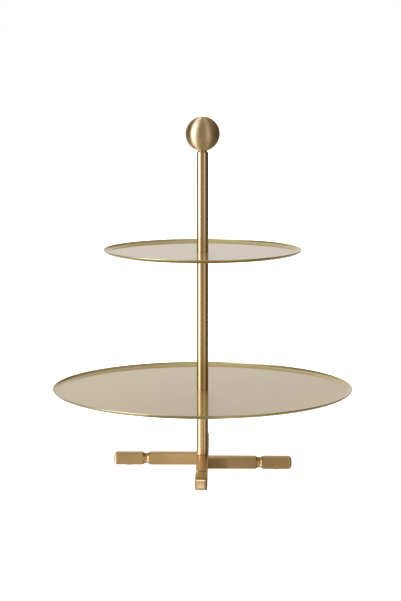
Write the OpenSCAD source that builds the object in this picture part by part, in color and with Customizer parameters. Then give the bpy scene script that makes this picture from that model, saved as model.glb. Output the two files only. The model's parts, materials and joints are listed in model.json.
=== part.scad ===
// Two-tier cake stand: two shallow pressed trays clamped between the screwed
// sections of one slim stem, on a foot of square bars, under a ball finial.
// The origin is on the table plane, on the stem axis. +Z is up and the front is -Y.

/* [Foot] */
// Width and height of the square foot bars
bar_w = 11.5; // [11:0.1:13]
// Length of the long bar that runs from front to back under the stem
main_bar_l = 216; // [190:1:230]
// Distance from the stem axis to the tip of each side arm
arm_reach = 89.5; // [80:0.5:100]
// How far the left arm stands behind the stem axis, and the right arm in front of it
arm_stagger = 9; // [8.8:0.1:12]
// Radius of the eased long edges of the bars
edge_r = 0.7; // [0.3:0.1:1.2]
// Radius of the rounded edges round the end face of each bar
tip_r = 3.2; // [1.5:0.1:4]
// Distance from a bar's tip to the middle of its turned groove
groove_from_tip = 32.5; // [24:0.5:36]
// Radius left at the bottom of the turned groove
groove_neck_r = 5.05; // [4.6:0.05:5.3]
// Radius of the turning tool's round nose
groove_tool_r = 4; // [2:0.1:5]

/* [Foot pads] */
// Radius of each rubber pad
pad_r = 4.25; // [3:0.05:4.5]
// Thickness of each rubber pad
pad_t = 1.5; // [1.2:0.1:2]
// How far the pads stand out below the bars
pad_proud = 0.5; // [0.4:0.1:1]
// Distance from a bar's tip to the middle of its pad
pad_from_tip = 15; // [12:0.5:20]

/* [Stem] */
// Outer diameter of the stem tubes
stem_d = 11.6; // [11:0.1:13]
// Wall of the stem tubes
stem_wall = 1.2; // [1:0.1:1.4]
// Length of the tube from the foot to the lower tray
lower_tube_l = 65.4; // [50:0.1:90]
// Length of the tube between the two trays
middle_tube_l = 138.4; // [120:0.1:170]
// Length of the tube from the upper tray to the finial
upper_tube_l = 98.7; // [80:0.1:120]
// Length of the threaded plugs fixed inside the tube ends
plug_l = 14; // [12:0.5:18]
// Depth of the chamfer at each plug's mouth
mouth_chamfer = 0.5; // [0.2:0.1:0.8]

/* [Threaded studs and screws] */
// Radius of the studs that join the stem sections
stud_r = 3; // [2.5:0.1:3.2]
// Radial running clearance of a stud in the plug that it screws into
thread_gap = 0.05; // [0.02:0.01:0.09]
// Length of each stud that reaches into the section below
stud_reach = 8; // [6:0.5:10]
// Length of each stud that stays fixed in its own section
stud_root = 11; // [9:0.5:12]
// Radius of the foot screws
screw_r = 2.5; // [2:0.1:2.8]
// Length of the foot screws, head included
screw_l = 23; // [20:0.5:26]
// Radius of the flat side of a countersunk screw head
screw_head_r = 4.6; // [4:0.1:5]
// Width across the corners of the hexagon socket in a screw head
hex_socket_d = 3.5; // [3:0.1:3.6]

/* [Trays] */
// Outer radius of the lower tray
lower_tray_r = 150; // [140:1:165]
// Height of the lower tray's rim above its floor
lower_rim_h = 2.8; // [2:0.1:3.5]
// Outer radius of the upper tray
upper_tray_r = 98.5; // [85:0.5:110]
// Height of the upper tray's rim above its floor
upper_rim_h = 2.4; // [2:0.1:3.5]
// Thickness of the tray sheet
sheet_t = 1; // [0.8:0.1:1.4]
// Angle at which the rim flares up at its edge
flare_angle = 52; // [40:1:65]
// Radial clearance between a tray's hole and the stud through it
tray_hole_gap = 0.1; // [0.05:0.01:0.2]

/* [Finial] */
// Radius of the ball
ball_r = 17.1; // [15:0.1:20]
// Radius of the collar under the ball
collar_r = 4.6; // [4.2:0.1:5.2]
// Height of the collar under the ball
collar_h = 1.4; // [1:0.1:3]
// Length of the finial's stud inside the ball
ball_stud_l = 12; // [8:0.5:16]

/* [Hidden] */
$fn = 96;

// Small overlap that makes a cut run through the surface it starts from
cut = 0.5;

bar_top = pad_proud + bar_w;
bar_mid = pad_proud + bar_w / 2;
arm_l = arm_reach - bar_w / 2;
lower_tray_z = bar_top + lower_tube_l;
middle_tube_z = lower_tray_z + sheet_t;
upper_tray_z = middle_tube_z + middle_tube_l;
upper_tube_z = upper_tray_z + sheet_t;
stem_top = upper_tube_z + upper_tube_l;
collar_top = stem_top + collar_h;
ball_z = collar_top + sqrt(pow(ball_r, 2) - pow(collar_r, 2));
tube_bore_r = stem_d / 2 - stem_wall;
thread_bore_r = stud_r + thread_gap;
screw_hole_r = screw_r + 0.1;
screw_cone_h = screw_head_r - screw_r;
hex_socket_h = 2.4;
// A point of the foot screws that stays clear of the bottom of its hole
screw_end_gap = 1;

// Turns a shape drawn along +Z so that it lies along a horizontal direction, seen from above
module along(angle) {
    rotate([0, 0, angle])
        rotate([0, 90, 0])
            children();
}

// Square outline with eased corners
module bar_outline() {
    inner = bar_w / 2 - edge_r;
    square([bar_w, 2 * inner], center = true);
    square([2 * inner, bar_w], center = true);
    for (x = [-inner, inner], y = [-inner, inner])
        translate([x, y])
            circle(r = edge_r, $fn = 32);
}

// Side view of a bar's end: both corners at length l are rounded
module tip_outline(l) {
    inner = bar_w / 2 - tip_r;
    translate([-bar_w / 2, 0])
        square([bar_w, l - tip_r]);
    translate([-inner, 0])
        square([2 * inner, l]);
    for (x = [-inner, inner])
        translate([x, l - tip_r])
            circle(r = tip_r);
}

// Bar along +Z with its tip at length l: a round turned groove and an end rounded on all four sides
module grooved_bar(l) {
    intersection() {
        difference() {
            linear_extrude(l)
                bar_outline();
            translate([0, 0, l - groove_from_tip])
                rotate_extrude()
                    translate([groove_neck_r + groove_tool_r, 0])
                        circle(r = groove_tool_r);
        }
        rounded_end(l);
    }
}

// Space inside the rounded end, as seen from the side and as seen from above
module rounded_end(l) {
    intersection() {
        rotate([90, 0, 0])
            linear_extrude(bar_w + 2 * cut, center = true)
                tip_outline(l);
        rotate([90, 0, 90])
            linear_extrude(bar_w + 2 * cut, center = true)
                tip_outline(l);
    }
}

// Round recess under a bar that holds one pad
module pad_recess() {
    cylinder(r = pad_r, h = pad_t);
}

// Hole for a countersunk screw along +Z, with its head's flat side at 0
module screw_hole(l) {
    cylinder(r = screw_hole_r, h = l);
    cylinder(r1 = screw_head_r, r2 = screw_r, h = screw_cone_h);
    translate([0, 0, -cut])
        cylinder(r = screw_head_r, h = cut);
}

// Countersunk screw along +Z with a hexagon socket, its head's flat side at 0
module countersunk_screw() {
    difference() {
        union() {
            cylinder(r = screw_r, h = screw_l);
            cylinder(r1 = screw_head_r, r2 = screw_r, h = screw_cone_h);
        }
        translate([0, 0, -cut])
            cylinder(d = hex_socket_d, h = hex_socket_h + cut, $fn = 6);
    }
}

// Places the two arm screws or their holes: each goes in at the long bar's far side
module at_arm_screws() {
    for (side = [0, 180])
        rotate([0, 0, side])
            translate([-bar_w / 2, -arm_stagger, bar_mid])
                along(0)
                    children();
}

module stem_tube(z, l) {
    translate([0, 0, z])
        difference() {
            cylinder(d = stem_d, h = l);
            translate([0, 0, -cut])
                cylinder(r = tube_bore_r, h = l + 2 * cut);
        }
}

// Plug fixed inside a tube end, with its mouth at z. up is 1 if the mouth faces up and -1 if it faces down
module threaded_plug(z, up, bore) {
    translate([0, 0, z])
        mirror([0, 0, (1 + up) / 2])
            difference() {
                cylinder(r = tube_bore_r, h = plug_l);
                translate([0, 0, -cut])
                    cylinder(r = bore, h = plug_l + 2 * cut);
                cylinder(r1 = bore + mouth_chamfer, r2 = bore, h = mouth_chamfer);
            }
}

// Stud that is fixed above z and reaches stud_reach below the tray under it
module tray_stud(z) {
    translate([0, 0, z - sheet_t - stud_reach])
        cylinder(r = stud_r, h = stud_reach + sheet_t + stud_root);
}

// Points of an arc from angle a0 to a1, without its last point
function arc_points(centre, r, a0, a1, steps) = [
    for (i = [0:steps - 1])
        let (a = a0 + (a1 - a0) * i / steps)
            centre + r * [cos(a), sin(a)]
];

// Half section of a tray: the floor, then one arc that flares up to a rounded edge
module tray_section(r, rim_h) {
    arc_r = rim_h / (1 - cos(flare_angle));
    mid_r = arc_r + sheet_t / 2;
    edge_angle = flare_angle - 90;
    floor_r = r - sheet_t / 2 - mid_r * cos(edge_angle);
    hole_r = stud_r + tray_hole_gap;
    arc_centre = [floor_r, sheet_t + arc_r];
    edge_centre = arc_centre + mid_r * [cos(edge_angle), sin(edge_angle)];
    polygon(concat(
        [[hole_r, sheet_t], [hole_r, 0]],
        arc_points(arc_centre, arc_r + sheet_t, -90, edge_angle, 16),
        arc_points(edge_centre, sheet_t / 2, edge_angle, edge_angle + 180, 8),
        arc_points(arc_centre, arc_r, edge_angle, -90, 16),
        [[floor_r, sheet_t]]
    ));
}

// Pressed round tray with its underside at z
module tray(r, rim_h, z) {
    translate([0, 0, z])
        rotate_extrude($fn = 180)
            tray_section(r, rim_h);
}

module foot_main_bar() {
    color("darkgoldenrod")
        difference() {
            translate([0, 0, bar_mid])
                for (end = [90, -90])
                    along(end)
                        grooved_bar(main_bar_l / 2);
            at_arm_screws()
                screw_hole(bar_w + cut);
            translate([0, 0, pad_proud])
                screw_hole(bar_w + cut);
            for (end = [-1, 1])
                translate([0, end * (main_bar_l / 2 - pad_from_tip), 0])
                    pad_recess();
        }
}

// Side arm that lies along +X in front of the stem axis
module side_arm() {
    difference() {
        translate([bar_w / 2, -arm_stagger, bar_mid])
            along(0)
                grooved_bar(arm_l);
        translate([0, -arm_stagger, bar_mid])
            along(0)
                cylinder(r = screw_r, h = screw_l - bar_w / 2 + screw_end_gap);
        translate([arm_reach - pad_from_tip, -arm_stagger, 0])
            pad_recess();
    }
}

module foot_left_arm() {
    color("darkgoldenrod")
        rotate([0, 0, 180])
            side_arm();
}

module foot_right_arm() {
    color("darkgoldenrod")
        side_arm();
}

module arm_screws() {
    color("silver")
        at_arm_screws()
            countersunk_screw();
}

module stem_screw() {
    color("silver")
        translate([0, 0, pad_proud])
            countersunk_screw();
}

module foot_pads() {
    color("dimgray") {
        for (end = [-1, 1])
            translate([0, end * (main_bar_l / 2 - pad_from_tip), 0])
                cylinder(r = pad_r, h = pad_t);
        for (side = [-1, 1])
            translate([side * (arm_reach - pad_from_tip), -side * arm_stagger, 0])
                cylinder(r = pad_r, h = pad_t);
    }
}

module lower_stem_tube() {
    color("goldenrod")
        stem_tube(bar_top, lower_tube_l);
}

module lower_stem_foot_plug() {
    color("darkgray")
        threaded_plug(bar_top, -1, screw_r);
}

module lower_stem_head_plug() {
    color("darkgray")
        threaded_plug(lower_tray_z, 1, thread_bore_r);
}

module lower_tray() {
    color("burlywood")
        tray(lower_tray_r, lower_rim_h, lower_tray_z);
}

module middle_stem_tube() {
    color("goldenrod")
        stem_tube(middle_tube_z, middle_tube_l);
}

module middle_stem_foot_plug() {
    color("darkgray")
        threaded_plug(middle_tube_z, -1, stud_r);
}

module middle_stem_head_plug() {
    color("darkgray")
        threaded_plug(upper_tray_z, 1, thread_bore_r);
}

module lower_tray_stud() {
    color("silver")
        tray_stud(middle_tube_z);
}

module upper_tray() {
    color("burlywood")
        tray(upper_tray_r, upper_rim_h, upper_tray_z);
}

module upper_stem_tube() {
    color("goldenrod")
        stem_tube(upper_tube_z, upper_tube_l);
}

module upper_stem_foot_plug() {
    color("darkgray")
        threaded_plug(upper_tube_z, -1, stud_r);
}

module upper_stem_head_plug() {
    color("darkgray")
        threaded_plug(stem_top, 1, thread_bore_r);
}

module upper_tray_stud() {
    color("silver")
        tray_stud(upper_tube_z);
}

module finial_collar() {
    color("darkgoldenrod")
        translate([0, 0, stem_top])
            difference() {
                cylinder(r = collar_r, h = collar_h);
                translate([0, 0, -cut])
                    cylinder(r = thread_bore_r, h = collar_h + 2 * cut);
            }
}

module finial_ball() {
    color("goldenrod")
        difference() {
            translate([0, 0, ball_z])
                sphere(r = ball_r);
            translate([0, 0, collar_top - ball_r])
                cylinder(r = ball_r, h = ball_r);
            translate([0, 0, collar_top - cut])
                cylinder(r = stud_r, h = ball_stud_l + cut);
        }
}

module finial_stud() {
    color("silver")
        translate([0, 0, stem_top - stud_reach])
            cylinder(r = stud_r, h = stud_reach + collar_h + ball_stud_l);
}

foot_main_bar();
foot_left_arm();
foot_right_arm();
arm_screws();
stem_screw();
foot_pads();
lower_stem_tube();
lower_stem_foot_plug();
lower_stem_head_plug();
lower_tray();
middle_stem_tube();
middle_stem_foot_plug();
middle_stem_head_plug();
lower_tray_stud();
upper_tray();
upper_stem_tube();
upper_stem_foot_plug();
upper_stem_head_plug();
upper_tray_stud();
finial_collar();
finial_ball();
finial_stud();
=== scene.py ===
"""The looks of a two-tier brass cake stand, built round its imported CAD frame.

Lengths are in metres. The front of the stand is -Y and its stem stands on +Z.
"""

import json
import math

import bmesh
import bpy
from mathutils import Matrix, Vector


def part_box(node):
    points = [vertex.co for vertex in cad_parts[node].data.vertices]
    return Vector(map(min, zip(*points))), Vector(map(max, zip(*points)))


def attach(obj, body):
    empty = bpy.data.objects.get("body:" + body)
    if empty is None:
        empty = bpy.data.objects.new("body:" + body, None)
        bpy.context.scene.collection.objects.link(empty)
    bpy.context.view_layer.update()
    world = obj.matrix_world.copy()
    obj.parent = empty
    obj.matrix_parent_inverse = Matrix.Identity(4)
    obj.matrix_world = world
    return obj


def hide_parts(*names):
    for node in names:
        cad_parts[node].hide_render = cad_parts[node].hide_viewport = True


MM = 0.001

# Camera: a long lens that looks down a little, just to the right of the front
CAMERA_DISTANCE = 1.852
CAMERA_HEIGHT = 0.424
CAMERA_SIDE_STEP = -0.002
CAMERA_PITCH = math.radians(7.85)
CAMERA_AZIMUTH = math.radians(0.83)
SENSOR = 36.0
LENS = 112.35

# How finely surfaces are divided: round the stem axis, then along each kind of outline
ROUND_STEPS = 192
TRAY_STEPS = 360
THREAD_STEPS = 48
BALL_ARC_STEPS = 96
TRAY_FLOOR_STEPS = 12
TRAY_FLARE_STEPS = 24
TRAY_EDGE_STEPS = 12
THREAD_ROWS_PER_TURN = 10
GROOVE_WALL_STEPS = 8
GROOVE_LIP_STEPS = 10
GROOVE_RIM_STEPS = 3
TIP_STEPS = 14
CORNER_STEPS = 16

# Edges that bend by more than this many degrees are shaded as sharp
CREASE = 32
TRAY_CREASE = 50
THREAD_CREASE = 60
BAR_CREASE = 20

# Shapes that the CAD frame's boxes don't give
SHEET = 1.0 * MM
FLARE = math.radians(52)
TRAY_HOLE_GAP = 0.1 * MM
THREAD_GAP = 0.05 * MM
TUBE_WALL = 1.2 * MM
TUBE_CHAMFER = 0.18 * MM
COLLAR_CHAMFER = 0.2 * MM
COLLAR_WAIST = 0.25 * MM
EDGE_R = 0.7 * MM
TIP_R = 3.2 * MM
GROOVE_FROM_TIP = 32.5 * MM
GROOVE_NECK_R = 5.05 * MM
GROOVE_TOOL_R = 4.0 * MM
THREAD_PITCH = 1.0 * MM
THREAD_DEPTH = 0.55 * MM
# Width of one flank of the thread, as a share of the pitch
THREAD_FLANK = 0.4


# ---------------------------------------------------------------- mesh helpers


def mesh_object(name, bm, crease_degrees=CREASE):
    """Turns a bmesh into a smooth-shaded object with sharp creases."""
    bmesh.ops.recalc_face_normals(bm, faces=bm.faces)
    mesh = bpy.data.meshes.new(name)
    bm.to_mesh(mesh)
    bm.free()
    mesh.shade_smooth()
    mesh.set_sharp_from_angle(angle=math.radians(crease_degrees))
    obj = bpy.data.objects.new(name, mesh)
    bpy.context.scene.collection.objects.link(obj)
    return obj


def ring_band(bm, lower, upper):
    """Faces between two rings of vertices; a ring of one vertex is a pole."""
    faces = []
    steps = max(len(lower), len(upper))
    for i in range(steps):
        j = (i + 1) % steps
        if len(lower) == 1:
            corners = (lower[0], upper[j], upper[i])
        elif len(upper) == 1:
            corners = (lower[i], lower[j], upper[0])
        else:
            corners = (lower[i], lower[j], upper[j], upper[i])
        faces.append(bm.faces.new(corners))
    return faces


def lathe_bmesh(outline, steps, closed):
    """A bmesh of an outline of (radius, height) points turned round Z.

    A point of radius 0 makes a pole. A closed outline makes a ring with a hole.
    """
    bm = bmesh.new()
    turn = [2 * math.pi * i / steps for i in range(steps)]
    rings = []
    for radius, height in outline:
        if radius == 0:
            rings.append([bm.verts.new((0, 0, height))])
        else:
            places = [(radius * math.cos(a), radius * math.sin(a), height) for a in turn]
            rings.append([bm.verts.new(place) for place in places])
    for lower, upper in zip(rings, rings[1:]):
        ring_band(bm, lower, upper)
    if closed:
        ring_band(bm, rings[-1], rings[0])
    return bm


def steps_between(start, end, steps):
    """Evenly spaced numbers from start to end, both included."""
    return [start + (end - start) * i / steps for i in range(steps + 1)]


def arc(centre, radius, start, end, steps):
    """Points of an arc in the (radius, height) plane, both ends included. Angles are in radians."""
    angles = steps_between(start, end, steps)
    return [(centre[0] + radius * math.cos(a), centre[1] + radius * math.sin(a)) for a in angles]


def node_span(node):
    """(bottom, top, outer radius) of a round CAD node on the stem axis."""
    low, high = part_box(node)
    return low.z, high.z, high.x


# ---------------------------------------------------------------- turned and pressed pieces


def make_tube(node, bore_r):
    """Tube with chamfered ends."""
    bottom, top, radius = node_span(node)
    c = TUBE_CHAMFER
    outline = [
        (bore_r, bottom), (radius - c, bottom), (radius, bottom + c),
        (radius, top - c), (radius - c, top), (bore_r, top),
    ]
    return mesh_object(node + "_turned", lathe_bmesh(outline, ROUND_STEPS, True))


def tray_outline(hole_r, radius, underside, top):
    """Half section of a pressed tray: a floor, one flaring arc and a rounded edge that reaches top."""
    rim_h = top - underside - SHEET - SHEET / 2 * (1 - math.cos(FLARE))
    arc_r = rim_h / (1 - math.cos(FLARE))
    mid_r = arc_r + SHEET / 2
    edge = FLARE - math.pi / 2
    floor_r = radius - SHEET / 2 - mid_r * math.cos(edge)
    centre = (floor_r, underside + SHEET + arc_r)
    edge_centre = (centre[0] + mid_r * math.cos(edge), centre[1] + mid_r * math.sin(edge))
    floor = steps_between(hole_r, floor_r, TRAY_FLOOR_STEPS)[:-1]
    outline = [(r, underside) for r in floor]
    outline += arc(centre, arc_r + SHEET, -math.pi / 2, edge, TRAY_FLARE_STEPS)
    outline += arc(edge_centre, SHEET / 2, edge, edge + math.pi, TRAY_EDGE_STEPS)[1:-1]
    outline += arc(centre, arc_r, edge, -math.pi / 2, TRAY_FLARE_STEPS)
    outline += [(r, underside + SHEET) for r in reversed(floor)]
    return outline


def make_tray(node, hole_r):
    """Tray pressed from one sheet, with a hole in the middle."""
    bottom, top, radius = node_span(node)
    outline = tray_outline(hole_r, radius, bottom, top)
    return mesh_object(node + "_pressed", lathe_bmesh(outline, TRAY_STEPS, True), TRAY_CREASE)


def make_ball(node, seat_r):
    """Ball with a small turned flat that sits on the collar."""
    bottom, top, radius = node_span(node)
    centre = top - radius
    flat = math.asin((bottom - centre) / radius)
    outline = [(0, bottom), (seat_r / 2, bottom)]
    outline += arc((0, centre), radius, flat, math.pi / 2, BALL_ARC_STEPS)[:-1]
    outline += [(0, top)]
    return mesh_object(node + "_turned", lathe_bmesh(outline, ROUND_STEPS, False))


def make_collar(node, hole_r):
    """Collar with chamfered edges and a slight waist, round the finial's stud."""
    bottom, top, radius = node_span(node)
    c = COLLAR_CHAMFER
    outline = [
        (hole_r, bottom), (radius - c, bottom), (radius, bottom + c),
        (radius - COLLAR_WAIST, (bottom + top) / 2),
        (radius, top - c), (radius - c, top), (hole_r, top),
    ]
    return mesh_object(node + "_turned", lathe_bmesh(outline, ROUND_STEPS, True))


def thread_radius(radius, height, length, turn):
    """Radius of a threaded stud at a height from its end, and at a turn from 0 to 1.

    The crest is sharp, and a straight flank on each side leads down to the flat root.
    """
    phase = (height / THREAD_PITCH - turn) % 1.0
    from_crest = 0.5 - abs(phase - 0.5)
    depth = THREAD_DEPTH * min(1.0, from_crest / THREAD_FLANK)
    lead_in = radius - THREAD_DEPTH + min(height, length - height)
    return min(radius - depth, lead_in)


def make_thread(node):
    """A stud with a real single-start thread: the radius rises and falls along a helix."""
    bottom, top, radius = node_span(node)
    length = top - bottom
    rows = int(length / THREAD_PITCH * THREAD_ROWS_PER_TURN)
    bm = bmesh.new()
    rings = []
    for height in steps_between(0, length, rows):
        ring = []
        for i in range(THREAD_STEPS):
            r = thread_radius(radius, height, length, i / THREAD_STEPS)
            angle = 2 * math.pi * i / THREAD_STEPS
            ring.append(bm.verts.new((r * math.cos(angle), r * math.sin(angle), bottom + height)))
        rings.append(ring)
    for lower, upper in zip(rings, rings[1:]):
        ring_band(bm, lower, upper)
    ring_band(bm, [bm.verts.new((0, 0, bottom))], rings[0])
    ring_band(bm, rings[-1], [bm.verts.new((0, 0, top))])
    return mesh_object(node + "_threaded", bm, THREAD_CREASE)


# ---------------------------------------------------------------- square bars with turned ends


# Places across a flat face, as shares of its half width. The corner that follows starts at 1.
# The places next to each edge keep the shading flat up to it.
FLAT_SHARES = (-1, -0.97, -0.5, 0, 0.5, 0.97)
# Points nearer to each other than WELD become one, and edges shorter than SLIVER go
WELD = 0.0001 * MM
SLIVER = 0.00001 * MM


def eased_square_radius(angle, half):
    """Distance from a bar's middle line to its square outline with eased edges.

    The angle is measured from the middle of a face, and half is half the bar's width.
    """
    inner = half - EDGE_R
    folded = min(angle, math.pi / 2 - angle)
    if math.tan(folded) <= inner / half:
        return half / math.cos(folded)
    reach = inner * (math.cos(folded) + math.sin(folded))
    return reach + math.sqrt(reach**2 - 2 * inner**2 + EDGE_R**2)


def bar_section(lathe_r, half):
    """Outline of a bar of half width half that the lathe has cut down to the radius lathe_r.

    Each quarter is a flat face and then a corner.
    """
    inner = half - EDGE_R
    width = math.sqrt(max(0.0, min(lathe_r**2 - half**2, inner**2)))
    points = []
    for quarter in range(4):
        turn = Matrix.Rotation(quarter * math.pi / 2, 2)
        for share in FLAT_SHARES:
            points.append(turn @ Vector((min(half, lathe_r), share * width)))
        start = math.atan2(width, min(half, lathe_r))
        for angle in steps_between(start, math.pi / 2 - start, CORNER_STEPS)[:-1]:
            r = min(lathe_r, eased_square_radius(angle, half))
            points.append(turn @ Vector((r * math.cos(angle), r * math.sin(angle))))
    return points


def groove_stations(place, half):
    """(place along the bar, radius that the lathe leaves, half width) across one groove.

    wall, lip and rim are angles round the tool: where the flat faces begin, where they have
    their full width and where the corners are whole.
    """
    edge = math.hypot(half, half - EDGE_R)
    full = eased_square_radius(math.pi / 4, half)
    wall, lip, rim = (
        math.acos((GROOVE_NECK_R + GROOVE_TOOL_R - r) / GROOVE_TOOL_R) for r in (half, edge, full)
    )
    one_side = steps_between(0, wall, GROOVE_WALL_STEPS)
    one_side += steps_between(wall, lip, GROOVE_LIP_STEPS)[1:]
    one_side += steps_between(lip, rim, GROOVE_RIM_STEPS)[1:]
    stations = []
    for a in [-b for b in reversed(one_side)] + one_side[1:]:
        r = GROOVE_NECK_R + GROOVE_TOOL_R * (1 - math.cos(a))
        stations.append((place + GROOVE_TOOL_R * math.sin(a), r, half))
    return stations


def tip_stations(tip, half):
    """Stations like those of a groove, where all four faces round over towards the end face."""
    stations = []
    for a in steps_between(0, math.pi / 2, TIP_STEPS):
        stations.append((tip - TIP_R * (1 - math.sin(a)), 2 * half, half - TIP_R * (1 - math.cos(a))))
    return stations


def mark_turned(faces, whole):
    """Gives the turned material to a whole band of faces, or only to those of its corners."""
    quarter = len(FLAT_SHARES) + CORNER_STEPS
    for i, face in enumerate(faces):
        face.material_index = int(whole or i % quarter >= len(FLAT_SHARES))


def bar_stations(tip, half, tips):
    """Stations of a whole bar from -tip to tip; tips has -1 and 1 for the ends that are turned."""
    stations = []
    for end in (-1, 1):
        rows = [(tip, 2 * half, half)]
        if end in tips:
            rows = groove_stations(tip - GROOVE_FROM_TIP, half) + tip_stations(tip, half)
        stations += [(end * z, r, h) for z, r, h in rows[::end]]
    return stations


def make_bar(node, tips):
    """A square bar along its CAD node, with a groove and a rounded end at each of its tips."""
    low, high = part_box(node)
    size = high - low
    along_x = size.x > size.y
    half = size.z / 2
    stations = bar_stations((size.x if along_x else size.y) / 2, half, tips)
    bm = bmesh.new()
    rings = [[bm.verts.new((x, y, z)) for x, y in bar_section(r, h)] for z, r, h in stations]
    for i, (start, stop) in enumerate(zip(stations, stations[1:])):
        faces = ring_band(bm, rings[i], rings[i + 1])
        if stop[0] - start[0] < GROOVE_TOOL_R:
            mark_turned(faces, start[1] < half or start[2] < half or stop[2] < half)
    mark_turned([bm.faces.new(rings[0])], -1 in tips)
    mark_turned([bm.faces.new(rings[-1])], 1 in tips)
    bmesh.ops.remove_doubles(bm, verts=bm.verts, dist=WELD)
    bmesh.ops.dissolve_degenerate(bm, edges=bm.edges, dist=SLIVER)
    if along_x:
        turn = Matrix.Rotation(math.pi / 2, 4, "Y")
    else:
        turn = Matrix.Rotation(-math.pi / 2, 4, "X")
    bm.transform(Matrix.Translation((low + high) / 2) @ turn)
    return mesh_object(node + "_brushed", bm, BAR_CREASE)


# ---------------------------------------------------------------- node trees


class Graph:
    """A node tree with short ways to add nodes.

    A value is a number, a tuple, or the socket of another node.
    """

    def __init__(self, tree):
        self.tree = tree
        tree.nodes.clear()

    def feed(self, socket, value):
        """Links or sets an input."""
        if isinstance(value, bpy.types.NodeSocket):
            self.tree.links.new(value, socket)
        else:
            socket.default_value = value

    def add(self, kind, inputs=None, **settings):
        """Adds a node with its settings, and feeds its inputs by name or number."""
        node = self.tree.nodes.new(kind)
        for key, value in settings.items():
            setattr(node, key, value)
        for key, value in (inputs or {}).items():
            self.feed(node.inputs[key], value)
        return node

    def maths(self, operation, *values):
        """Result of an operation on one or more numbers."""
        node = self.add("ShaderNodeMath", operation=operation)
        for socket, value in zip(node.inputs, values):
            self.feed(socket, value)
        return node.outputs[0]

    def remap(self, value, from_low, from_high, low, high, kind="LINEAR"):
        """Goes from low to high as value goes from from_low to from_high."""
        inputs = {"Value": value, "From Min": from_low, "From Max": from_high}
        inputs.update({"To Min": low, "To Max": high})
        return self.add("ShaderNodeMapRange", inputs, interpolation_type=kind).outputs["Result"]

    def mix(self, factor, first, second):
        """Mix of two colours."""
        inputs = {0: factor, 6: first, 7: second}
        return self.add("ShaderNodeMix", inputs, data_type="RGBA").outputs[2]

    def blend(self, value, low, high, first, second):
        """Goes smoothly from the number first to second as value goes from low to high."""
        share = self.remap(value, low, high, 0.0, 1.0, "SMOOTHSTEP")
        return self.add("ShaderNodeMix", {0: share, 2: first, 3: second}, data_type="FLOAT").outputs[0]

    def noise(self, stretch, scale, detail=3.0, roughness=0.6):
        """Noise in the piece's own coordinates, stretched by a factor for each axis."""
        place = self.add("ShaderNodeTexCoord").outputs["Object"]
        mapping = self.add("ShaderNodeMapping", {"Vector": place, "Scale": stretch})
        inputs = {"Vector": mapping.outputs[0], "Scale": scale}
        inputs.update({"Detail": detail, "Roughness": roughness})
        return self.add("ShaderNodeTexNoise", inputs).outputs[0]

    def ring_noise(self, scale):
        """Noise that changes only with the distance from the stem axis: fine concentric lines."""
        place = self.add("ShaderNodeTexCoord").outputs["Object"]
        across = {0: place, 1: (1, 1, 0)}
        flat = self.add("ShaderNodeVectorMath", across, operation="MULTIPLY").outputs[0]
        length = self.add("ShaderNodeVectorMath", {0: flat}, operation="LENGTH").outputs["Value"]
        inputs = {"W": length, "Scale": scale, "Detail": 4.0, "Roughness": 0.7}
        return self.add("ShaderNodeTexNoise", inputs, noise_dimensions="1D").outputs[0]

    def bump(self, height, strength, distance, normal=None):
        """Bump from a height, over an earlier bump's normal if one is given."""
        inputs = {"Height": height, "Strength": strength, "Distance": distance}
        if normal:
            inputs["Normal"] = normal
        return self.add("ShaderNodeBump", inputs).outputs[0]


def rgb(red, green, blue):
    """A colour with the alpha that sockets ask for."""
    return (red, green, blue, 1.0)


def scaled(colour, factor):
    """A lighter or darker version of a colour, up to full brightness."""
    return tuple(min(1.0, factor * part) for part in colour)


# ---------------------------------------------------------------- materials


def new_surface(name):
    """A material's graph and its main shader."""
    material = bpy.data.materials.new(name)
    material.use_nodes = True
    graph = Graph(material.node_tree)
    shader = graph.add("ShaderNodeBsdfPrincipled")
    graph.add("ShaderNodeOutputMaterial", {"Surface": shader.outputs[0]})
    return material, graph, shader


# Under lacquer, brass stays yellow even where it is seen at a low angle
EDGE_TINT = (0.92, 0.74, 0.48)
# A noise's values between these two are stretched over the whole range of what it drives
NOISE_RANGE = (0.3, 0.7)
STREAK_RANGE = (0.42, 0.62)
# Pointiness is 0.5 on a flat surface and more on an outer edge. Outer edges are painted lighter, partly
# as wear and partly as a painted highlight.
WEAR_AND_SHEEN_RANGE = (0.52, 0.60)
# Upward part of the normal, from a rim to a surface that lies flat
FLAT_RANGE = (0.90, 0.99)
PATCH_SCALE = 24.0
MARK_HEIGHT = 0.02 * MM
# How much of each other colour goes into the base colour.
# The outer edges, lighter as wear and as a painted highlight, and the streaks have the base colour at
# another brightness.
PATCH_SHARE = 0.6
MARK_SHARE = 0.4
WEAR_AND_SHEEN_SHARE = 0.5
WEAR_AND_SHEEN_LEVEL = 1.2
STREAK_SHARE = 0.6
STREAK_LEVEL = 0.62


def brass_tint(graph, base, shade, marks, streaks):
    """Base colour with patches and marks of the shade, edges lighter as wear and as a painted
    highlight, and darker streaks.
    """
    patches = graph.noise((1, 1, 1), PATCH_SCALE, detail=2.0)
    tint = graph.mix(graph.remap(patches, *NOISE_RANGE, 0.0, PATCH_SHARE), rgb(*base), rgb(*shade))
    tint = graph.mix(graph.remap(marks, *NOISE_RANGE, 0.0, MARK_SHARE), tint, rgb(*shade))
    # Outer edges lighter: partly wear, partly a painted highlight
    edges = graph.add("ShaderNodeNewGeometry").outputs["Pointiness"]
    bright = rgb(*scaled(base, WEAR_AND_SHEEN_LEVEL))
    tint = graph.mix(graph.remap(edges, *WEAR_AND_SHEEN_RANGE, 0.0, WEAR_AND_SHEEN_SHARE), tint, bright)
    if streaks:
        dark = rgb(*scaled(base, STREAK_LEVEL))
        tint = graph.mix(graph.remap(streaks, *STREAK_RANGE, 0.0, STREAK_SHARE), tint, dark)
    return tint


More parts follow.
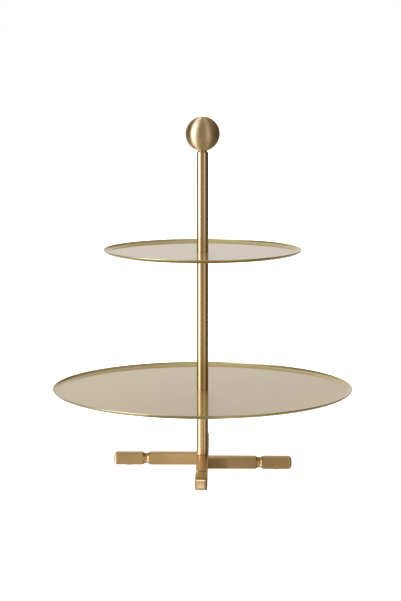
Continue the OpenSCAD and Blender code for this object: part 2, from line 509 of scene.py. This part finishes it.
def brass_roughness(graph, marks, limits, rim):
    """Roughness from mark to mark, and that of the rim on whatever does not lie flat."""
    rough = graph.remap(marks, *NOISE_RANGE, *limits)
    if not rim:
        return rough
    facing = graph.add("ShaderNodeNewGeometry").outputs["Normal"]
    upward = graph.maths("ABSOLUTE", graph.add("ShaderNodeSeparateXYZ", {0: facing}).outputs["Z"])
    return graph.blend(upward, *FLAT_RANGE, rim, rough)


def add_lacquer(shader, weight, roughness, index):
    """A clear coat with its refractive index."""
    shader.inputs["Coat Weight"].default_value = weight
    shader.inputs["Coat Roughness"].default_value = roughness
    shader.inputs["Coat IOR"].default_value = index


def add_grain(graph, shader, axis, strength, turn):
    """Highlights stretched across the marks: round the axis, or along it if turn is 0.25."""
    tangent = graph.add("ShaderNodeTangent", direction_type="RADIAL", axis=axis)
    graph.feed(shader.inputs["Tangent"], tangent.outputs[0])
    shader.inputs["Anisotropic"].default_value = strength
    shader.inputs["Anisotropic Rotation"].default_value = turn


def brass(name, base, shade, lines, roughness, depth, grain=None, streaks=None, rim=None, lacquer=None):
    """Brushed or turned brass.

    base and shade are its two colours. lines is a function that gives the brush marks' noise.
    roughness is the range from mark to mark, and depth is the strength of their bumps.
    grain is (axis, anisotropy, turn) of the marks: along that axis, or round it if turn is 0.25.
    streaks is a second set of marks, and rim is the roughness of whatever does not lie flat.
    lacquer is (weight, roughness, refractive index) of the clear lacquer over the metal.
    """
    material, graph, shader = new_surface(name)
    shader.inputs["Metallic"].default_value = 1.0
    shader.inputs["Specular Tint"].default_value = rgb(*EDGE_TINT)
    if lacquer:
        add_lacquer(shader, *lacquer)
    if grain:
        add_grain(graph, shader, *grain)
    marks = lines(graph)
    normal = graph.bump(marks, depth, MARK_HEIGHT)
    second = streaks(graph) if streaks else None
    if second:
        normal = graph.bump(second, depth, MARK_HEIGHT, normal)
    graph.feed(shader.inputs["Base Color"], brass_tint(graph, base, shade, marks, second))
    graph.feed(shader.inputs["Roughness"], brass_roughness(graph, marks, roughness, rim))
    graph.feed(shader.inputs["Normal"], normal)
    return material


# How fast turned and brushed marks change along themselves, as a share of how fast they change across
TURNED_STRETCH = 0.02
BRUSHED_STRETCH = 0.015


def rings_along(axis, scale):
    """Turned marks: noise that changes along one axis."""
    stretch = [TURNED_STRETCH] * 3
    stretch["XYZ".index(axis)] = 1.0
    return lambda graph: graph.noise(tuple(stretch), scale)


def lines_along(axis, scale):
    """Brushed marks: noise that changes across one axis."""
    stretch = [1.0, 1.0, 1.0]
    stretch["XYZ".index(axis)] = BRUSHED_STRETCH
    return lambda graph: graph.noise(tuple(stretch), scale, detail=6.0, roughness=0.75)


def concentric(scale):
    """Turned marks on a face that was cut flat: rings round the stem axis."""
    return lambda graph: graph.ring_noise(scale)


def stem_brass(name, base):
    """Polished tube with faint turned rings."""
    return brass(
        name, base, scaled(base, 0.87), rings_along("Z", 3500.0), (0.20, 0.24), 0.02,
        grain=("Z", 0.8, 0.25), lacquer=(1.0, 0.12, 1.5),
    )


def rubber(name):
    """Black rubber with fine specks."""
    material, graph, shader = new_surface(name)
    specks = graph.noise((1, 1, 1), 2500.0)
    dark, light = rgb(0.012, 0.012, 0.012), rgb(0.03, 0.03, 0.03)
    tint = graph.mix(graph.remap(specks, *NOISE_RANGE, 0.0, 1.0), dark, light)
    graph.feed(shader.inputs["Base Color"], tint)
    graph.feed(shader.inputs["Roughness"], graph.remap(specks, *NOISE_RANGE, 0.6, 0.85))
    graph.feed(shader.inputs["Normal"], graph.bump(specks, 0.4, 0.05 * MM))
    return material


def bar_materials(name, axis, base):
    """The materials of a bar along an axis: its brushed faces, then its turned grooves and ends."""
    shade = scaled(base, 0.7)
    brushed = brass(
        name + "_brushed", base, shade, lines_along(axis, 500.0), (0.28, 0.42), 0.15,
        grain=(axis, 0.6, 0.0), lacquer=(0.5, 0.25, 1.5),
    )
    turned = brass(
        name + "_turned", base, shade, rings_along(axis, 4000.0), (0.12, 0.18), 0.06,
        grain=(axis, 0.5, 0.25), lacquer=(1.0, 0.08, 1.5),
    )
    return [brushed, turned]


# ---------------------------------------------------------------- studio


# The light table: half its width, its paint and its own light
FLOOR_HALF = 30
FLOOR_PAINT = 0.9
FLOOR_GLOW = 0.9
CARD_LIGHT = (1.0, 0.97, 0.9)
# Cards: name, middle, size, brightness, tilt about Y.
# front_card_back lies on front_card and hides it from the ball above.
CARDS = [
    ("left_card", (-0.18, -0.42, -0.06), (0.34, 0.5), 0.85, 0.0),
    ("front_card", (-0.02, -0.19, 0.064), (0.07, 0.13), 2.6, 0.0),
    ("front_card_back", (-0.02, -0.19, 0.065), (0.07, 0.13), 0.3, 0.0),
    ("low_card", (-0.012, -0.184, -0.02), (0.05, 0.036), 3.8, 0.0),
    ("tip_shade", (-0.04, -0.128, 0.0), (0.05, 0.05), 0.7, math.pi / 2),
    ("arm_shade", (0.009, -0.06, -0.004), (0.03, 0.08), 0.08, 0.0),
]
# Soft lights: name, middle, width, power. They point at the middle of the stand.
LIGHTS = [
    ("key_light", (-1.6, -1.2, 2.2), 1.6, 60),
    ("fill_light", (1.8, 0.6, 2.0), 1.6, 40),
]
AIM = Vector((0, 0, 0.15))


def make_camera():
    """The camera, turned round the stand and stepped sideways."""
    data = bpy.data.cameras.new("camera")
    data.sensor_width = SENSOR
    data.lens = LENS
    data.clip_start = 0.05
    data.clip_end = 100
    camera = bpy.data.objects.new("camera", data)
    side, back = math.cos(CAMERA_AZIMUTH), math.sin(CAMERA_AZIMUTH)
    camera.location = (
        CAMERA_SIDE_STEP * side + CAMERA_DISTANCE * back,
        CAMERA_SIDE_STEP * back - CAMERA_DISTANCE * side,
        CAMERA_HEIGHT,
    )
    camera.rotation_euler = (math.pi / 2 - CAMERA_PITCH, 0, CAMERA_AZIMUTH)
    bpy.context.scene.collection.objects.link(camera)
    bpy.context.scene.camera = camera


def make_card(name, place, size, level, tilt):
    """A card, lit or dark, that only the brass reflects. With no tilt, it lies flat."""
    bm = bmesh.new()
    bmesh.ops.create_grid(bm, x_segments=2, y_segments=2, size=0.5)
    card = mesh_object(name, bm)
    material, _, shader = new_surface(name + "_paint")
    shader.inputs["Base Color"].default_value = rgb(0, 0, 0)
    shader.inputs["Emission Color"].default_value = rgb(*CARD_LIGHT)
    shader.inputs["Emission Strength"].default_value = level
    card.data.materials.append(material)
    card.scale = (*size, 1)
    card.location = place
    card.rotation_euler = (0, tilt, 0)
    card.visible_camera = False
    card.visible_diffuse = False
    card.visible_shadow = False


def make_floor():
    """A white table that glows a little, as a light table does, so shadows stay faint."""
    bm = bmesh.new()
    bmesh.ops.create_grid(bm, x_segments=4, y_segments=4, size=FLOOR_HALF)
    floor = mesh_object("floor", bm)
    material, _, shader = new_surface("light_table")
    shader.inputs["Base Color"].default_value = rgb(FLOOR_PAINT, FLOOR_PAINT, FLOOR_PAINT)
    shader.inputs["Roughness"].default_value = 1.0
    shader.inputs["Specular IOR Level"].default_value = 0.0
    shader.inputs["Emission Color"].default_value = rgb(1, 1, 1)
    shader.inputs["Emission Strength"].default_value = FLOOR_GLOW
    floor.data.materials.append(material)
    floor.visible_glossy = False


# The studio's walls: brightness by direction in degrees.
# The camera is in direction 0, its left is at -90, and the wall behind the stand is at 180.
WALLS = [
    (-180, 0.80), (-165, 0.82), (-156, 0.80), (-142, 0.48), (-128, 0.20), (-112, 0.09), (-100, 0.18),
    (-88, 0.8), (-80, 3.6), (-54, 3.6), (-45, 1.2), (-36, 0.55), (-23, 0.34), (0, 0.27), (20, 0.34),
    (30, 0.7), (40, 0.95), (48, 0.80), (58, 0.38), (70, 0.15), (84, 0.06), (112, 0.035), (138, 0.05),
    (153, 0.12), (163, 0.45), (170, 0.68), (175, 0.76), (180, 0.81),
]
# High up on the right and behind the stand on that side, the walls are at least this bright.
# Directions are in radians from here on, and heights in degrees.
HIGH_RIGHT_LEVEL = 0.40
HIGH_RIGHT_TURN = (0.9, 1.5)
HIGH_RIGHT_RISE = (4, 48)
# The far table's brightness is a share of that of the wall above it, and a constant.
# Behind the stand on the left, it is at least FAR_LEFT_LEVEL.
FAR_TABLE = (0.75, 0.18)
FAR_LEFT_LEVEL = 0.55
FAR_LEFT_TURN = (-2.3, -1.8)
# The near table's is worked out in the same way, but it stops at GROUND,
# or at GROUND_SHARE of the wall's brightness where that is more.
NEAR_TABLE = (2.2, 0.15)
GROUND = 0.75
GROUND_SHARE = 0.8
CEILING = 0.62
# Heights in degrees between which one part of the studio turns into the next
FAR_TABLE_RISE = (-13, -4)
NEAR_TABLE_RISE = (-36, -12)
CEILING_RISE = (62, 86)
# Dim parts are warm and bright parts cool, over these ranges of brightness
WARM = (1.0, 0.83, 0.62)
WARM_RANGE = (0.1, 0.7)
COOL = (0.90, 1.06, 1.40)
COOL_RANGE = (1.0, 3.0)


def wall_level(graph, turn):
    """Brightness of the walls by direction."""
    share = graph.maths("MULTIPLY_ADD", turn, 0.5 / math.pi, 0.5)
    ramp = graph.add("ShaderNodeValToRGB", {0: share})
    top = max(level for _, level in WALLS)
    stops = ramp.color_ramp.elements
    stops.remove(stops[-1])
    for index, (degrees, level) in enumerate(WALLS):
        position = degrees / 360 + 0.5
        stop = stops[0] if index == 0 else stops.new(position)
        stop.position = position
        stop.color = rgb(level / top, level / top, level / top)
    return graph.maths("MULTIPLY", ramp.outputs["Color"], top)


def studio_level(graph, turn, rise):
    """Brightness by direction in radians and by height in degrees."""
    walls = wall_level(graph, turn)
    on_right = graph.blend(turn, *HIGH_RIGHT_TURN, 0.0, 1.0)
    high_up = graph.blend(rise, *HIGH_RIGHT_RISE, 0.0, HIGH_RIGHT_LEVEL)
    walls = graph.maths("MAXIMUM", walls, graph.maths("MULTIPLY", on_right, high_up))
    lit_table = graph.maths("MINIMUM", graph.maths("MULTIPLY_ADD", walls, *NEAR_TABLE), GROUND)
    near_table = graph.maths("MAXIMUM", lit_table, graph.maths("MULTIPLY", walls, GROUND_SHARE))
    far_left = graph.blend(turn, *FAR_LEFT_TURN, FAR_LEFT_LEVEL, 0.0)
    far_table = graph.maths("MAXIMUM", graph.maths("MULTIPLY_ADD", walls, *FAR_TABLE), far_left)
    level = graph.blend(rise, *FAR_TABLE_RISE, far_table, walls)
    level = graph.blend(rise, *NEAR_TABLE_RISE, near_table, level)
    return graph.blend(rise, *CEILING_RISE, level, CEILING)


def make_world():
    """Soft walls, ceiling and table for the brass to reflect; the camera itself sees plain white."""
    world = bpy.data.worlds.new("studio")
    bpy.context.scene.world = world
    world.use_nodes = True
    graph = Graph(world.node_tree)
    direction = graph.add("ShaderNodeTexCoord").outputs["Generated"]
    split = graph.add("ShaderNodeSeparateXYZ", {0: direction})
    towards_camera = graph.maths("MULTIPLY", split.outputs["Y"], -1.0)
    turn = graph.maths("ARCTAN2", split.outputs["X"], towards_camera)
    rise = graph.maths("MULTIPLY", graph.maths("ARCSINE", split.outputs["Z"]), 180 / math.pi)
    level = studio_level(graph, turn, rise)
    tint = graph.mix(graph.remap(level, *WARM_RANGE, 0.0, 1.0), rgb(*WARM), rgb(1, 1, 1))
    tint = graph.mix(graph.remap(level, *COOL_RANGE, 0.0, 1.0), tint, rgb(*COOL))
    light = graph.add("ShaderNodeBackground", {"Color": tint, "Strength": level})
    seen = graph.add("ShaderNodeBackground", {"Color": rgb(1, 1, 1), "Strength": 1.0})
    path = graph.add("ShaderNodeLightPath").outputs["Is Camera Ray"]
    mixed = graph.add("ShaderNodeMixShader", {0: path, 1: light.outputs[0], 2: seen.outputs[0]})
    graph.add("ShaderNodeOutputWorld", {"Surface": mixed.outputs[0]})


def make_softbox(name, place, size, power):
    """Soft light for the floor; the walls' own brightness shapes what the brass reflects."""
    data = bpy.data.lights.new(name, "AREA")
    data.shape = "DISK"
    data.size = size
    data.energy = power
    light = bpy.data.objects.new(name, data)
    light.location = place
    light.rotation_euler = (AIM - Vector(place)).to_track_quat("-Z", "Y").to_euler()
    light.visible_glossy = False
    light.visible_camera = False
    bpy.context.scene.collection.objects.link(light)


# ---------------------------------------------------------------- the scene


def set_materials(obj, materials):
    """Puts these materials in the place of those an object has."""
    obj.data.materials.clear()
    for material in materials:
        obj.data.materials.append(material)


def make_pieces():
    """The pieces that replace CAD nodes, by node."""
    stud_r = node_span("finial_stud")[2]
    stem_r = node_span("lower_stem_tube")[2]
    pieces = {}
    for tier in ("lower", "middle", "upper"):
        pieces[tier + "_stem_tube"] = make_tube(tier + "_stem_tube", stem_r - TUBE_WALL)
    for tier in ("lower", "upper"):
        pieces[tier + "_tray"] = make_tray(tier + "_tray", stud_r + TRAY_HOLE_GAP)
        pieces[tier + "_tray_stud"] = make_thread(tier + "_tray_stud")
    pieces["finial_stud"] = make_thread("finial_stud")
    pieces["finial_collar"] = make_collar("finial_collar", stud_r + THREAD_GAP)
    pieces["finial_ball"] = make_ball("finial_ball", node_span("finial_collar")[2])
    pieces["foot_main_bar"] = make_bar("foot_main_bar", (-1, 1))
    pieces["foot_left_arm"] = make_bar("foot_left_arm", (-1,))
    pieces["foot_right_arm"] = make_bar("foot_right_arm", (1,))
    return pieces


# Pieces that do not just look like their material slot
OWN_LOOKS = {
    "foot_main_bar": "long_bar",
    "foot_left_arm": "side_arm",
    "foot_right_arm": "side_arm",
    # The lower and middle tubes take a darker, deeper copy of the stem brass: painted shade
    "lower_stem_tube": "shaded_stem",
    "middle_stem_tube": "shaded_stem",
}


def make_materials():
    """The materials of each look, which is a material slot's name or one of OWN_LOOKS."""
    finial = brass(
        "ball_brass", (0.82, 0.61, 0.34), (0.74, 0.53, 0.28),
        rings_along("Z", 2500.0), (0.41, 0.47), 0.04,
        grain=("Z", 1.0, 0.25), streaks=lines_along("Z", 500.0), lacquer=(0.6, 0.2, 1.5),
    )
    tray = brass(
        "pale_brass", (0.63, 0.51, 0.23), (0.59, 0.47, 0.20), concentric(900.0), (0.44, 0.54), 0.05,
        rim=0.28, lacquer=(1.0, 0.05, 1.55),
    )
    plug = brass(
        "plug_brass", (0.66, 0.47, 0.22), (0.56, 0.38, 0.16), concentric(1500.0), (0.2, 0.35), 0.2,
    )
    steel = brass(
        "zinc_plate", (0.58, 0.58, 0.58), (0.50, 0.50, 0.51), concentric(900.0), (0.2, 0.4), 0.1,
    )
    return {
        "tray_brass": [tray],
        "stem_brass": [stem_brass("stem_brass", (0.67, 0.47, 0.25))],
        # A darker copy of the stem brass: painted shade on the lower and middle tubes
        "shaded_stem": [stem_brass("shaded_stem_brass", (0.66, 0.44, 0.20))],
        "long_bar": bar_materials("long_bar", "Y", (0.68, 0.49, 0.28)),
        "side_arm": bar_materials("side_arm", "X", (0.72, 0.475, 0.215)),
        "finial_brass": [finial],
        "plug_brass": [plug],
        "fastener_steel": [steel],
        "pad_rubber": [rubber("pad_rubber")],
    }


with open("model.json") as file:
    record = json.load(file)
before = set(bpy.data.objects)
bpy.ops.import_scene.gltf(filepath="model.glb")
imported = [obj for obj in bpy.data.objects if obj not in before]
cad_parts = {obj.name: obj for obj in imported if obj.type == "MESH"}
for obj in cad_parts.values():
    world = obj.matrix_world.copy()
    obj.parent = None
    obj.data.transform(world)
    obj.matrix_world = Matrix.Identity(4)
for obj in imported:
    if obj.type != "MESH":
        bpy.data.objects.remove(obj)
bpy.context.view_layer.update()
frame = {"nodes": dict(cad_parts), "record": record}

bodies = frame["record"]["behaviour"]["bodies"]
body_of = {node: body for body, members in bodies.items() for node in members}
slot_of = {row["node"]: row["material_slot"] for row in frame["record"]["subparts"]}
look_of = {**slot_of, **OWN_LOOKS}
looks = make_materials()
pieces = make_pieces()

for node, obj in frame["nodes"].items():
    if node not in pieces:
        set_materials(obj, looks[look_of[node]])
for node, piece in pieces.items():
    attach(piece, body_of[node])
    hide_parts(node)
    set_materials(piece, looks[look_of[node]])

make_floor()
for card in CARDS:
    make_card(*card)
make_world()
for softbox in LIGHTS:
    make_softbox(*softbox)
make_camera()
bpy.context.scene.view_settings.view_transform = "Standard"
